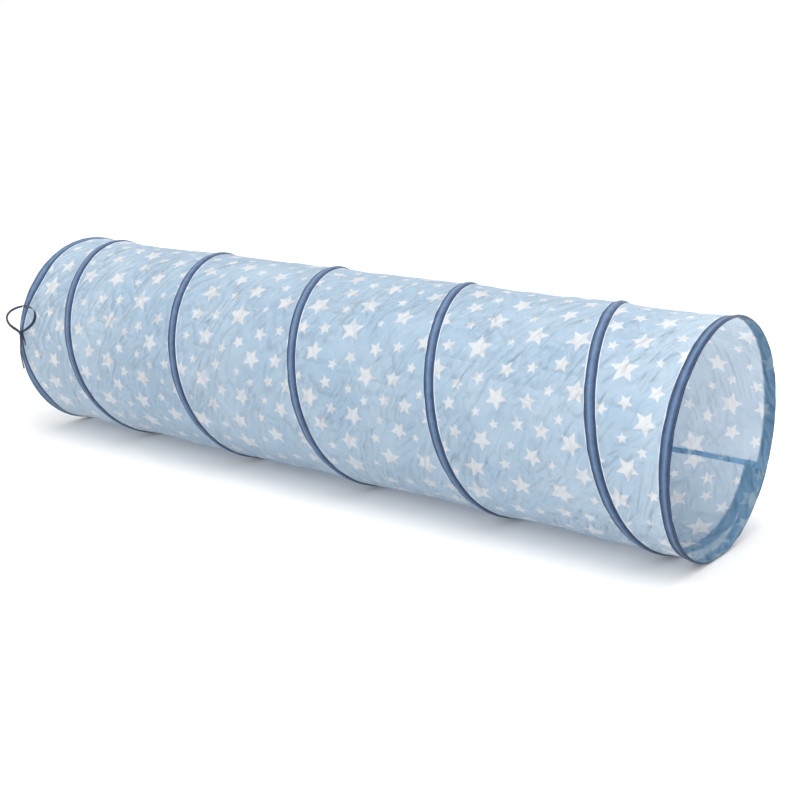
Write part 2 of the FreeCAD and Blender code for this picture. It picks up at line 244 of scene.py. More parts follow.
knot = knot_piece()
long_strand, sewn_long, long_length = strand("tie_long", LONG_STRAND, LONG_TURNS, ["tie_strand_long"])
short_strand, sewn_short, short_length = strand(
    "tie_short", SHORT_STRAND, SHORT_TURNS, ["tie_strand_short"],
)

# ------------------------------------------------------------------ sleeve
# One panel of thin printed taffeta, rolled into a tube and closed by a lengthwise fell seam.
# It is stretched between the hoops, dips a little between the coil's turns, and keeps the fine
# creases of having been folded flat.

# Every round of the tunnel rests on a straight foot, an arc of the circle replaced by its chord,
# and the coil runs level beside each hoop before it climbs.  Angles are about the tunnel's axis,
# in degrees: 0 at the back, 90 over the top, 180 in front, 270 at the floor.
FOOT_HALF = math.radians(7.5)
SEAM_ANGLE = -26.0
COIL_TURNS = 5
NEAR_RUN = 48.0
FAR_RUN = 35.0
RUN_BLEND = 12.0
WAVE_CELLS = 256
near_cap_low, near_cap_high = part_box("coil_cap_near")
coil_reach = -(near_cap_low.x + near_cap_high.x) / 2
slope_start = SEAM_ANGLE + NEAR_RUN
slope_end = SEAM_ANGLE + 360 * COIL_TURNS - FAR_RUN


def eased_in(degrees):
    """The angle past a bend: nothing well before it, and the angle itself well after."""
    return (degrees + np.hypot(degrees, RUN_BLEND)) / 2


def coil_place(degrees):
    """Where along X the coil is: level beside each hoop and evenly sloped between."""
    rate = 2 * coil_reach / (slope_end - slope_start)
    return -coil_reach + rate * (eased_in(degrees - slope_start) - eased_in(degrees - slope_end))


def on_round(degrees, radius):
    """Y and Z of a point at an angle and radius, with the straight foot."""
    angle = np.radians(degrees)
    from_floor = (angle + math.pi / 2 + math.pi) % (2 * math.pi) - math.pi
    chord = math.cos(FOOT_HALF) / np.cos(from_floor)
    reach = np.where(np.abs(from_floor) < FOOT_HALF, chord, 1.0) * radius
    return reach * np.cos(angle), axis_height + reach * np.sin(angle)


def rippled(across, down, seed, cell_across, cell_down):
    """Smooth random waves from -1 to 1, with cells of the given size."""
    field = np.random.default_rng(seed).uniform(-1, 1, (WAVE_CELLS, WAVE_CELLS))
    u, v = across / cell_across, down / cell_down
    left, top = np.floor(u).astype(int), np.floor(v).astype(int)
    fu, fv = u - left, v - top
    fu, fv = fu * fu * (3 - 2 * fu), fv * fv * (3 - 2 * fv)
    corners = [
        field[(left + i) % WAVE_CELLS, (top + j) % WAVE_CELLS]
        for i, j in ((0, 0), (1, 0), (0, 1), (1, 1))
    ]
    upper = corners[0] * (1 - fu) + corners[1] * fu
    lower = corners[2] * (1 - fu) + corners[3] * fu
    return upper * (1 - fv) + lower * fv


def flat_grid(name, columns, rows):
    """A flat grid to be bent onto the rounds, and each point's share of the way along and across it."""
    bpy.ops.mesh.primitive_grid_add(x_subdivisions=columns, y_subdivisions=rows, size=1)
    piece = bpy.context.object
    piece.name = name
    flat = np.empty(len(piece.data.vertices) * 3)
    piece.data.vertices.foreach_get("co", flat)
    flat = flat.reshape(-1, 3)
    return piece, flat[:, 0] + 0.5, flat[:, 1] + 0.5


def bend(piece, places, **maps):
    """Put a grid's points at their X, Y and Z, and lay the named UV maps on it."""
    mesh = piece.data
    mesh.vertices.foreach_set("co", np.stack(places, axis=1).ravel())
    corners = np.empty(len(mesh.loops), dtype=int)
    mesh.loops.foreach_get("vertex_index", corners)
    for number, (name, values) in enumerate(maps.items()):
        layer = mesh.uv_layers.new(name=name) if number else mesh.uv_layers[0]
        layer.name = name
        layer.data.foreach_set("uv", np.stack(values, axis=1)[corners].ravel())
    mesh.update()


# How finely the panel is divided, and how it dips, folds and puckers, in metres.
ACROSS_CELLS = 300
ROUND_CELLS = 330
DIP_DEPTH = 0.0022
DIP_REACH = 0.06
FREE_REACH = 0.03
SEAM_STIFF = 4
# How far beside a tape the painted shade under it fades out, in metres.
UNDER_FADE = 0.0015
PUCKER_PITCH = 0.009
PUCKER_REACH = 0.012
PUCKER_HEIGHT = 0.0005
LOWEST_FOLD, HIGHEST_FOLD = -0.004, 0.0022
# Soft waves: a seed, their length and width, and their height, in metres.
SOFT_WAVES = [(3, 0.14, 0.10, 0.0022), (4, 0.055, 0.045, 0.0012)]
# Sharp folds: a seed, their direction on the flat cloth in degrees, and their length, spacing and
# depth in metres.
SHARP_FOLDS = [
    (11, -62, 0.13, 0.034, 0.0024), (12, -75, 0.10, 0.028, 0.0020), (13, -40, 0.10, 0.036, 0.0016),
    (14, -88, 0.11, 0.030, 0.0014), (15, 55, 0.09, 0.032, 0.0014), (16, 6, 0.14, 0.040, 0.0014),
]
FOLD_SHARPNESS = 5.5
# The lengthwise line that the cloth was pressed along: its angle, width and height.
PRESSED_ANGLE, PRESSED_WIDTH, PRESSED_HEIGHT = 188, 0.004, 0.0012
# The share of its width that each hoop's tape covers, and where the tie's pull narrows or widens
# the near one: by what share, at which angle and over how many degrees.
NEAR_COVER, FAR_COVER = 1.05, 1.10
TIE_PULL = [(-0.45, 176, 17), (0.50, 139, 15), (0.75, 219, 19)]
# The print's repeat across and round, its slant and stretch, where the sewing drew it, and how
# far it drew it along and round at the back and underneath.
PRINT_ACROSS = 0.313
PRINT_DOWN = 0.317
PRINT_SKEW = 0.047
PRINT_STRETCH = 0.983
BACK_START, BACK_REACH = 0.06, 0.25
UNDER_START, UNDER_REACH = 0.56, 0.18
BACK_DRAWN = (0.006, 0.028)
UNDER_DRAWN = (-0.017, 0.003)
DRIFT, DRIFT_REACH = 0.008, 0.3
STAR_FATNESS = 0.46
STAR_GROWTH = 1.14
STAR_EDGE = (0.030, -0.015)
far_tape_low, far_tape_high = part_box("far_hoop_casing")
tape_width = near_tape_high.x - near_tape_low.x
sleeve_low, sleeve_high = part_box("sleeve_bay_1")
sleeve_radius = sleeve_high.y
sleeve_start = sleeve_low.x
sleeve_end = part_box("sleeve_bay_5")[1].x


def crease(across, down, seed, angle, length, spacing):
    """Sharp folds in one direction: thin ridges where a stretched wave crosses zero."""
    turn = math.radians(angle)
    u = across * math.cos(turn) + down * math.sin(turn)
    v = down * math.cos(turn) - across * math.sin(turn)
    wave = rippled(u, v, seed, length, spacing)
    patches = np.clip(rippled(across, down, seed + 50, 0.11, 0.09) * 1.6 + 0.1, 0, 1)
    return np.clip(1 - np.abs(wave) * FOLD_SHARPNESS, 0, 1) ** 1.5 * patches


def hoop_cover(end, degrees):
    """Share of its width that a hoop's tape covers; the tie's pull rolls the near one inwards."""
    if end > 0:
        return FAR_COVER + 0.03 * np.sin(np.radians(degrees) * 5)
    return NEAR_COVER + sum(
        share * np.exp(-(((degrees - middle) / reach) ** 2)) for share, middle, reach in TIE_PULL
    )


def nearest_turn(across, degrees):
    """Distance along X to the nearest crossing of the coil."""
    turns = np.stack([coil_place(degrees + 360 * turn) for turn in range(COIL_TURNS)])
    return np.abs(turns - across).min(axis=0)


def clear_of_tape(across, degrees):
    """Distance along X from the nearest tape's edge, and 0 under a tape."""
    near_edge = near_tape_low.x + tape_width * hoop_cover(-1, degrees)
    far_edge = far_tape_high.x - tape_width * hoop_cover(1, degrees)
    to_hoop = np.minimum(across - near_edge, far_edge - across)
    return np.clip(np.minimum(nearest_turn(across, degrees) - tape_width / 2, to_hoop), 0, 0.2)


def dip(to_tape):
    """How far the cloth sinks between the tapes that hold it out."""
    return -DIP_DEPTH * (1 - np.exp(-(to_tape / DIP_REACH) ** 1.5))


def eased_print(across, down):
    """Where the print lies: sewing up drew the cloth a little round at the back and underneath."""
    past = np.clip(BACK_START - down, 0, 1)
    back = np.where(down < BACK_START, 1 - np.exp(-past / BACK_REACH), 0)
    below = np.clip((down - UNDER_START) / UNDER_REACH, 0, 1)
    below = below * below * (3 - 2 * below)
    down = down + BACK_DRAWN[1] * back + UNDER_DRAWN[1] * below + DRIFT * np.tanh(across / DRIFT_REACH)
    across = across * PRINT_STRETCH + BACK_DRAWN[0] * back + UNDER_DRAWN[0] * below
    return (across - PRINT_SKEW * down) / PRINT_ACROSS, down / PRINT_DOWN


def sleeve_mesh():
    """The panel bent into a tube, with its waves, folds and the puckers beside the stitching."""
    piece, along_share, round_share = flat_grid("sleeve", ACROSS_CELLS, ROUND_CELLS)
    across = sleeve_start + along_share * (sleeve_end - sleeve_start)
    degrees = SEAM_ANGLE + 360 * round_share
    down = np.radians(degrees) * sleeve_radius
    to_tape = clear_of_tape(across, degrees)
    free = 1 - np.exp(-to_tape / FREE_REACH)
    at_seam = np.clip(np.minimum(round_share, 1 - round_share) * 360 / SEAM_STIFF, 0, 1)
    soft = sum(
        rippled(across, down, seed, length, width) * height
        for seed, length, width, height in SOFT_WAVES
    )
    folds = sum(
        crease(across, down, seed, angle, length, spacing) * depth
        for seed, angle, length, spacing, depth in SHARP_FOLDS
    )
    off_line = (down - np.radians(PRESSED_ANGLE) * sleeve_radius) / PRESSED_WIDTH
    pressed = np.exp(-(off_line**2)) * PRESSED_HEIGHT
    pucker = np.sin(down / PUCKER_PITCH * math.pi + 5 * rippled(across, down, 7, 0.2, 0.06))
    pucker = pucker * np.exp(-to_tape / PUCKER_REACH) * (to_tape > 0) * PUCKER_HEIGHT
    folded = at_seam * (free * (soft - folds + pressed) + pucker)
    radius = sleeve_radius + dip(to_tape) + np.clip(folded, LOWEST_FOLD, HIGHEST_FOLD)
    down_front = np.radians(degrees - 90) * sleeve_radius
    bend(
        piece, (across, *on_round(degrees, radius)),
        print=eased_print(across, down_front), cut=(across, down_front),
    )
    # Painted shade mask: 1 on the cloth under a tape, fading out just beside it. The material paints this
    # strip darker and bluer, as the shade of the tape behind the thin cloth.
    under = np.clip(1 - to_tape / UNDER_FADE, 0, 1)
    piece.data.attributes.new("painted_shade", "FLOAT", "POINT").data.foreach_set("value", under)
    bpy.ops.object.shade_smooth()
    return piece


# Where each star of one repeat lies, in millimetres across and round from the repeat's corner,
# with its outer radius and its turn in degrees, and where that corner lies along the tunnel.
STARS = [
    (4, 158, 25, 30), (75, 160, 11, 5), (226, 162, 22, 3),
    (181, 186, 9, 0), (117, 208, 26, -6), (49, 214, 14, -18), (247, 234, 12, 0),
    (195, 246, 16, 18), (306, 218, 17, 0), (40, 268, 22, 0), (139, 271, 14, 36),
    (96, 290, 12, 15), (187, 304, 22, 25), (255, 302, 17, -2), (14, 325, 10, 0),
    (85, 330, 14, -12), (147, 337, 10, -8), (241, 348, 13, -12), (189, 357, 10, -15),
    (45, 366, 22, 20), (102, 385, 14, 15), (162, 392, 21, 32), (229, 392, 9, 5),
    (276, 407, 19, 37), (5, 417, 9, 15), (71, 424, 18, 32), (212, 436, 12, -8),
    (142, 457, 22, -12), (294, 352, 17, 0), (295, 274, 11, 10),
]
PRINT_CORNER = -300


def math_nodes(tree, add):
    """A function that adds a Math node between numbers and sockets, and gives its output."""
    def maths(operation, *values):
        node = add("Math", operation=operation)
        for socket, value in zip(node.inputs, values):
            if isinstance(value, (int, float)):
                socket.default_value = value
            else:
                wires(tree, (value, socket))
        return node.outputs[0]

    return maths


def printed_stars(tree, add, maths):
    """A 0 to 1 mask of the star print, read from the sleeve's print UV map."""
    place = add("UVMap")
    place.uv_map = "print"
    total = None
    for across, down, reach, turn in STARS:
        corner = add("VectorMath", operation="ADD")
        corner.inputs[1].default_value = (
            0.5 - (across + PRINT_CORNER - PRINT_SKEW * down) / (PRINT_ACROSS * 1000),
            0.5 - down / (PRINT_DOWN * 1000),
            0,
        )
        cell = add("VectorMath", operation="FRACTION")
        local = add("Mapping")
        scale_x = PRINT_ACROSS * 1000 / (reach * STAR_GROWTH)
        scale_y = PRINT_DOWN * 1000 / (reach * STAR_GROWTH)
        spin = math.radians(turn)
        half_x, half_y = scale_x / 2, scale_y / 2
        local.inputs["Scale"].default_value = (scale_x, scale_y, 1)
        local.inputs["Rotation"].default_value = (0, 0, -spin)
        local.inputs["Location"].default_value = (
            -(half_x * math.cos(spin) + half_y * math.sin(spin)),
            half_x * math.sin(spin) - half_y * math.cos(spin),
            1,
        )
        size = add("VectorMath", operation="LENGTH")
        inside = add("Math", operation="LESS_THAN")
        inside.inputs[1].default_value = math.sqrt(2)
        sum_up = add("VectorMath", operation="MULTIPLY_ADD")
        wires(
            tree,
            (place.outputs["UV"], corner.inputs[0]),
            (corner.outputs[0], cell.inputs[0]),
            (cell.outputs[0], local.inputs["Vector"]),
            (local.outputs[0], size.inputs[0]),
            (size.outputs["Value"], inside.inputs[0]),
            (local.outputs[0], sum_up.inputs[0]),
            (inside.outputs[0], sum_up.inputs[1]),
        )
        if total is not None:
            wires(tree, (total, sum_up.inputs[2]))
        total = sum_up.outputs[0]

    parts = add("SeparateXYZ")
    wires(tree, (total, parts.inputs[0]))
    x, y, present = parts.outputs
    upward = maths("MULTIPLY", y, -1.0)
    radius = maths("SQRT", maths("ADD", maths("MULTIPLY", x, x), maths("MULTIPLY", y, y)))
    bearing = maths("ARCTAN2", x, upward)
    fold = math.radians(72)
    folded = maths("FLOORED_MODULO", maths("ADD", bearing, fold / 2), fold)
    folded = maths("ABSOLUTE", maths("SUBTRACT", folded, fold / 2))
    tip = maths("MULTIPLY", radius, maths("COSINE", folded))
    side = maths("MULTIPLY", radius, maths("SINE", folded))
    inner_x = STAR_FATNESS * math.cos(fold / 2)
    inner_y = STAR_FATNESS * math.sin(fold / 2)
    normal = math.hypot(inner_y, 1 - inner_x)
    inward = maths("MULTIPLY", maths("SUBTRACT", tip, 1.0), inner_y / normal)
    edge = maths("MULTIPLY_ADD", side, (1 - inner_x) / normal, inward)
    mask = add(
        "MapRange", interpolation_type="SMOOTHSTEP", From_Min=STAR_EDGE[0], From_Max=STAR_EDGE[1],
    )
    wires(tree, (edge, mask.inputs["Value"]))
    return maths("MULTIPLY", mask.outputs[0], present)


# Each set of creases: its direction on the flat cloth, the length and spacing of its folds in
# metres, how high it stands, and how large the patches are that it comes and goes in.
CREASES = [
    (-62, 0.150, 0.030, 1.0, 0.16), (-76, 0.110, 0.022, 0.8, 0.12), (-44, 0.130, 0.028, 0.8, 0.14),
    (58, 0.100, 0.032, 0.7, 0.15), (3, 0.200, 0.040, 0.8, 0.22),
]
RIDGE_WIDTH = 1 / 4.5
RIDGE_SHARPNESS = 1.2
PATCH_EDGE = (0.38, 0.55)
SWERVE = 0.008


def pressed_creases(tree, add, maths):
    """Height of the fine folds, in shares of a fold: sharp ridges that come and go in patches."""
    flat = add("UVMap")
    flat.uv_map = "cut"
    total = None
    for turn, length, spacing, height, patch in CREASES:
        along_fold = add("Mapping")
        along_fold.inputs["Rotation"].default_value = (0, 0, -math.radians(turn))
        along_fold.inputs["Location"].default_value = (turn / 7, turn / 3, 0)
        stretched = add("VectorMath", operation="MULTIPLY")
        stretched.inputs[1].default_value = (1 / length, 1 / spacing, 1)
        bent = add("TexNoise", Scale=9.0, Detail=1.0)
        swerve = add("VectorMath", operation="MULTIPLY_ADD")
        swerve.inputs[1].default_value = (SWERVE, SWERVE, 0)
        fold = add("TexNoise", Scale=1.0, Detail=0.6, Roughness=0.4)
        where = add("TexNoise", Scale=1 / patch, Detail=1.0)
        wires(
            tree,
            (flat.outputs["UV"], bent.inputs["Vector"]),
            (bent.outputs["Color"], swerve.inputs[0]),
            (flat.outputs["UV"], swerve.inputs[2]),
            (swerve.outputs[0], along_fold.inputs["Vector"]),
            (along_fold.outputs[0], stretched.inputs[0]),
            (stretched.outputs[0], fold.inputs["Vector"]),
            (along_fold.outputs[0], where.inputs["Vector"]),
        )
        off = maths("ABSOLUTE", maths("SUBTRACT", fold.outputs["Fac"], 0.5))
        off = maths("MINIMUM", maths("MULTIPLY", off, 1 / RIDGE_WIDTH), 1.0)
        ridge = maths("POWER", maths("SUBTRACT", 1.0, off), RIDGE_SHARPNESS)
        patchy = add(
            "MapRange", interpolation_type="SMOOTHSTEP", From_Min=PATCH_EDGE[0], From_Max=PATCH_EDGE[1],
        )
        wires(tree, (where.outputs["Fac"], patchy.inputs["Value"]))
        shown = maths("MULTIPLY", maths("MULTIPLY", ridge, patchy.outputs[0]), height)
        total = shown if total is None else maths("ADD", total, shown)
    return total


def sleeve_material():
    """Pale blue taffeta: fine weave, sharp creases, light passing through, near-white stars."""
    material, tree, add = new_material("sleeve_taffeta")
    maths = math_nodes(tree, add)
    stars = printed_stars(tree, add, maths)
    object_place = add("TexCoord").outputs["Object"]
    # The painted shade mask: the strip under each tape, and the whole seam.
    painted_shade_mask = add("Attribute", attribute_name="painted_shade").outputs["Fac"]
    mottle = add("TexNoise", Scale=7.0, Detail=6.0, Roughness=0.6)
    wires(tree, (object_place, mottle.inputs["Vector"]))

    def tinted(low, high, star, shade_tint):
        """Cloth between two tones, with the stars printed, and painted shade: the strip under the tape,
        and the seam, multiplied darker and bluer.
        """
        cloth = add("ValToRGB")
        colour_stops(cloth, (0.3, low), (0.7, high))
        printed = add("Mix", data_type="RGBA")
        printed.inputs["B"].default_value = (*star, 1)
        # Painted shade: where the mask is set, the colour is multiplied by a darker, bluer tint. It stands
        # in for the shade of the tape, or of the seam's layers, on the thin cloth.
        shaded = add("Mix", data_type="RGBA", blend_type="MULTIPLY")
        shaded.inputs["B"].default_value = (*shade_tint, 1)
        wires(
            tree,
            (mottle.outputs["Fac"], cloth.inputs["Fac"]),
            (stars, printed.inputs["Factor"]),
            (cloth.outputs["Color"], printed.inputs["A"]),
            (painted_shade_mask, shaded.inputs["Factor"]),
            (printed.outputs["Result"], shaded.inputs["A"]),
        )
        return shaded.outputs["Result"]

    # The last colour in each is the painted shade tint, for the reflected colour and for the light passing
    # through.
    face = tinted((0.322, 0.452, 0.572), (0.428, 0.548, 0.645), (0.68, 0.69, 0.69), (0.60, 0.84, 1.0))
    glow = tinted((0.56, 0.64, 0.74), (0.64, 0.71, 0.79), (0.78, 0.80, 0.83), (0.58, 0.84, 1.0))
    threads = [
        add("TexWave", wave_type="BANDS", bands_direction=way, Scale=1100.0) for way in ("X", "DIAGONAL")
    ]
    fine = add("TexNoise", Scale=120.0, Detail=6.0, Roughness=0.6)
    weave_bump = add("Bump", Strength=0.3, Distance=0.0004)
    crease_bump = add("Bump", Strength=1.0, Distance=0.0052)
    front = add(
        "BsdfPrincipled", Roughness=0.46, Sheen_Weight=0.15, Sheen_Roughness=0.35, Specular_IOR_Level=0.5,
    )
    through = add("BsdfTranslucent")
    both = add("MixShader", Fac=0.42)
    output = add("OutputMaterial")
    weave = maths("MULTIPLY", threads[0].outputs["Fac"], threads[1].outputs["Fac"])
    wires(
        tree,
        (object_place, threads[0].inputs["Vector"]),
        (object_place, threads[1].inputs["Vector"]),
        (object_place, fine.inputs["Vector"]),
        (face, front.inputs["Base Color"]),
        (glow, through.inputs["Color"]),
        (pressed_creases(tree, add, maths), crease_bump.inputs["Height"]),
        (maths("MULTIPLY_ADD", weave, 0.25, fine.outputs["Fac"]), weave_bump.inputs["Height"]),
        (crease_bump.outputs["Normal"], weave_bump.inputs["Normal"]),
        (weave_bump.outputs["Normal"], front.inputs["Normal"]),
        (weave_bump.outputs["Normal"], through.inputs["Normal"]),
        (front.outputs[0], both.inputs[1]),
        (through.outputs[0], both.inputs[2]),
        (both.outputs[0], output.inputs["Surface"]),
    )
    return material


near_hoop_place = (near_tape_low.x + near_tape_high.x) / 2
sleeve = sleeve_mesh()
sleeve.data.materials.append(sleeve_material())
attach(sleeve, "near_hoop")
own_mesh(sleeve)
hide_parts(*(f"sleeve_bay_{turn + 1}" for turn in range(COIL_TURNS)))

# ------------------------------------------------------------------ tape casings
# A bias-cut tape is sewn over each wire by both edges, so it stands up like a tent along the
# wire and puckers at the stitching.  The hoop's wire pulls the tent towards the rim.
TAPE_THICKNESS = 0.0006
# Degrees between the tape's rows of points, the points' places across it in shares of its half
# width, and how far the tent rises at its ridge and its edges, in metres.
TAPE_STEP = 1.5
TAPE_PROFILE = [-1, -0.93, -0.8, -0.62, -0.45, -0.3, -0.15, 0, 0.15, 0.3, 0.45, 0.62, 0.8, 0.93, 1]
COIL_COVER = 1.13
TENT_RISE = 0.0042
EDGE_RISE = 0.0008
LOWEST_TAPE = 0.0005
COIL_TENT_HALF = 0.0085
HOOP_TENT_HALF = 0.0056
HOOP_TENT_SHIFT = 0.005
# How the stitching puckers, sinks and pulls in the edges, and how deep the cloth is dented.
EDGE_REACH = 0.0025
EDGE_PITCH = 0.0042
EDGE_PUCKER = 0.0004
EDGE_SINK = 0.0005
EDGE_PULL = 0.0004
EDGE_WAVER = 0.0007
DENT_DEPTH = 0.0009
# The stitch's pitch, the share of it that is thread, its row's place and half width in shares of
# the tape's half width, and the weave's pitch along and across the tape.
STITCH_PITCH = 0.0034
STITCH_LENGTH = 0.68
STITCH_ROW = 0.84
STITCH_WIDTH = 0.05
THREAD_PITCH = 0.0009
THREADS_ACROSS = 11.0
tape_base = ridge_radius - TENT_RISE


def tape_cloth():
    """Slate-blue polyester tape with dark stitches near both edges. A painted highlight makes it paler
    along the ridge over the wire, and painted shade darkens it towards both edges.
    """
    material, tree, add = new_material("slate_tape")
    maths = math_nodes(tree, add)
    lay = add("UVMap")
    lay.uv_map = "lay"
    on_tape = add("SeparateXYZ")
    object_place = add("TexCoord").outputs["Object"]
    mottle = add("TexNoise", Scale=55.0, Detail=6.0, Roughness=0.65)
    wires(tree, (lay.outputs["UV"], on_tape.inputs[0]), (object_place, mottle.inputs["Vector"]))
    length, across = on_tape.outputs[0], maths("ABSOLUTE", on_tape.outputs[1])
    # Painted highlight and shade: by the place across the tape, the ramp runs from pale on the ridge over
    # the wire to dark navy at both edges, with a random mottle in tone on top.
    shade = add("ValToRGB")
    colour_stops(
        shade, (0.0, (0.118, 0.200, 0.325)), (0.28, (0.070, 0.130, 0.238)),
        (0.50, (0.046, 0.090, 0.176)), (0.66, (0.020, 0.040, 0.096)), (1.0, (0.010, 0.020, 0.056)),
    )
    spread = maths("MULTIPLY_ADD", maths("SUBTRACT", mottle.outputs["Fac"], 0.5), 0.6, across)
    row = maths("LESS_THAN", maths("ABSOLUTE", maths("SUBTRACT", across, STITCH_ROW)), STITCH_WIDTH)
    dash = maths("LESS_THAN", maths("FRACT", maths("DIVIDE", length, STITCH_PITCH)), STITCH_LENGTH)
    stitch = maths("MULTIPLY", row, dash)
    sewn = add("Mix", data_type="RGBA")
    sewn.inputs["B"].default_value = (0.060, 0.098, 0.180, 1)
    warp = maths("SINE", maths("MULTIPLY", length, 2 * math.pi / THREAD_PITCH))
    weft = maths("SINE", maths("MULTIPLY", across, 2 * math.pi * THREADS_ACROSS))
    cloth = maths("MULTIPLY_ADD", maths("MULTIPLY", warp, weft), 0.2, mottle.outputs["Fac"])
    relief = maths("MULTIPLY_ADD", stitch, 1.2, cloth)
    bump = add("Bump", Strength=0.8, Distance=0.0006)
    shader = add(
        "BsdfPrincipled", Roughness=0.52, Sheen_Weight=0.05, Sheen_Roughness=0.4, Specular_IOR_Level=0.3,
    )
    output = add("OutputMaterial")
    wires(
        tree,
        (spread, shade.inputs["Fac"]),
        (stitch, sewn.inputs["Factor"]),
        (shade.outputs["Color"], sewn.inputs["A"]),
        (sewn.outputs["Result"], shader.inputs["Base Color"]),
        (relief, bump.inputs["Height"]),
        (bump.outputs["Normal"], shader.inputs["Normal"]),
        (shader.outputs[0], output.inputs["Surface"]),
    )
    return material


tape_material = tape_cloth()


def tape_mesh(name, start, end, place_at, tent_middle, tent_half, lead, seed, hoop_end=0):
    """A tape wound round the tunnel from one angle to another, with its two edges stitched down."""
    rows = len(TAPE_PROFILE) - 1
    piece, along_share, row_share = flat_grid(name, int((end - start) / TAPE_STEP), rows)
    degrees = start + along_share * (end - start)
    share = np.array(TAPE_PROFILE)[np.round(row_share * rows).astype(int)]
    if hoop_end:
        inward = 1 - (1 + hoop_end * share) / 2
        across = hoop_end * (tape_width / 2 - inward * tape_width * hoop_cover(hoop_end, degrees))
    else:
        across = share * tape_width / 2 * COIL_COVER
    arc = np.radians(degrees) * ridge_radius
    off_ridge = np.abs(share * tape_width / 2 - tent_middle) / tent_half
    tent = np.clip(1 - off_ridge, 0, 1)
    to_edge = (1 - np.abs(share)) * tape_width / 2
    near_edge = np.exp(-to_edge / EDGE_REACH)
    pucker = np.sin(arc / EDGE_PITCH * math.pi + 4 * rippled(arc, across, seed, 0.03, 0.02))
    waver = rippled(arc, np.sign(across), seed + 1, 0.022, 1.0)
    dents = np.clip(rippled(arc, across, seed + 2, 0.016, 0.006), 0, 1)
    height = EDGE_RISE + (TENT_RISE - EDGE_RISE) * (1 - (1 - tent) ** 1.6) * 0.98
    height = height + pucker * near_edge * EDGE_PUCKER - EDGE_SINK * near_edge
    height = height - dents * DENT_DEPTH * (off_ridge > 0.25) * (to_edge > 0.001)
    height = np.clip(height, LOWEST_TAPE, TENT_RISE)
    across = across - np.sign(across) * near_edge * (EDGE_PULL + EDGE_WAVER * waver)
    y, z = on_round(degrees, tape_base + height)
    bend(piece, (place_at(degrees) + across * lead, y, z), lay=(arc, share))
    solidify = piece.modifiers.new("thickness", "SOLIDIFY")
    solidify.thickness = TAPE_THICKNESS
    solidify.offset = -1
    bpy.ops.object.modifier_apply(modifier="thickness")
    bpy.ops.object.shade_smooth_by_angle(angle=math.radians(50))
    piece.data.materials.append(tape_material)
    return piece


coil_lead = math.hypot(1, 2 * coil_reach / math.radians(slope_end - slope_start) / tape_base)
coil_tape = tape_mesh(
    "coil_tape", SEAM_ANGLE, SEAM_ANGLE + 360 * COIL_TURNS, coil_place, 0.0, COIL_TENT_HALF, coil_lead, 21,
)
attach(coil_tape, "near_hoop")
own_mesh(coil_tape)
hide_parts(*(f"coil_casing_turn_{turn + 1}" for turn in range(COIL_TURNS)))
for side, body in ((-1, "near"), (1, "far")):
    hoop_tape = tape_mesh(
        f"{body}_hoop_tape", SEAM_ANGLE, SEAM_ANGLE + 360,
        lambda degrees: np.full_like(degrees, side * -near_hoop_place),
        side * HOOP_TENT_SHIFT, HOOP_TENT_HALF, 1.0, 30 + side, hoop_end=side,
    )
    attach(hoop_tape, f"{body}_hoop")
    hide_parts(f"{body}_hoop_casing")

# ------------------------------------------------------------------ tucks
# Along both edges of every tape the needle pinches the sleeve's cloth into a narrow raised fold,
# which shows as a pale line and comes and goes with the pull of the thread.  The pale line is a
# painted highlight: the fold's colour is painted paler than the cloth, where it catches the light.
TUCK_WIDTH = 0.0024
TUCK_HEIGHT = 0.0013
TUCK_STEP = 1.2
TUCK_UNDER = 0.0006
TUCK_CLEAR = 0.0003


def grained(name, low, high, grain, strength, depth, roughness):
    """A finely grained finish: the grain shows in its colour, between two tones, and in relief."""
    material, tree, add = new_material(name)
    noise = add("TexNoise", Scale=grain, Detail=5.0)
    tone = add("ValToRGB")
    colour_stops(tone, (0.0, low), (1.0, high))
    bump = add("Bump", Strength=strength, Distance=depth)
    shader = add("BsdfPrincipled", Roughness=roughness)
    output = add("OutputMaterial")
    wires(
        tree,
        (add("TexCoord").outputs["Object"], noise.inputs["Vector"]),
        (noise.outputs["Fac"], tone.inputs["Fac"]),
        (noise.outputs["Fac"], bump.inputs["Height"]),
        (tone.outputs["Color"], shader.inputs["Base Color"]),
        (bump.outputs["Normal"], shader.inputs["Normal"]),
        (shader.outputs[0], output.inputs["Surface"]),
    )
    return material


# Painted highlight: both tones are paler than the sleeve's cloth, so each tuck shows as a pale line.
tuck_highlight_material = grained("tuck_painted_highlight", (0.50, 0.59, 0.68), (0.72, 0.77, 0.81), 240.0, 0.4, 0.0004, 0.45)


def tuck_mesh(name, start, end, edge_at, outwards, height, seed):
    """A narrow raised fold of cloth along one edge of a tape."""
    piece, along_share, share = flat_grid(name, int((end - start) / TUCK_STEP), 6)
    degrees = start + along_share * (end - start)
    arc = np.radians(degrees) * sleeve_radius
    fullness = 0.62 + 0.38 * rippled(arc, arc * 0, seed, 0.018, 1.0)
    fullness = fullness * (0.70 + 0.30 * rippled(arc, arc * 0, seed + 1, 0.11, 1.0))
    lift = np.sin(share * math.pi) * TUCK_HEIGHT * height * fullness
    across = edge_at(degrees) + outwards * (share * TUCK_WIDTH * (0.6 + 0.4 * fullness) - TUCK_UNDER)
    bend(piece, (across, *on_round(degrees, sleeve_radius + TUCK_CLEAR + lift)))
    bpy.ops.object.shade_smooth()
    piece.data.materials.append(tuck_highlight_material)
    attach(piece, "near_hoop")
    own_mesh(piece)
    return piece


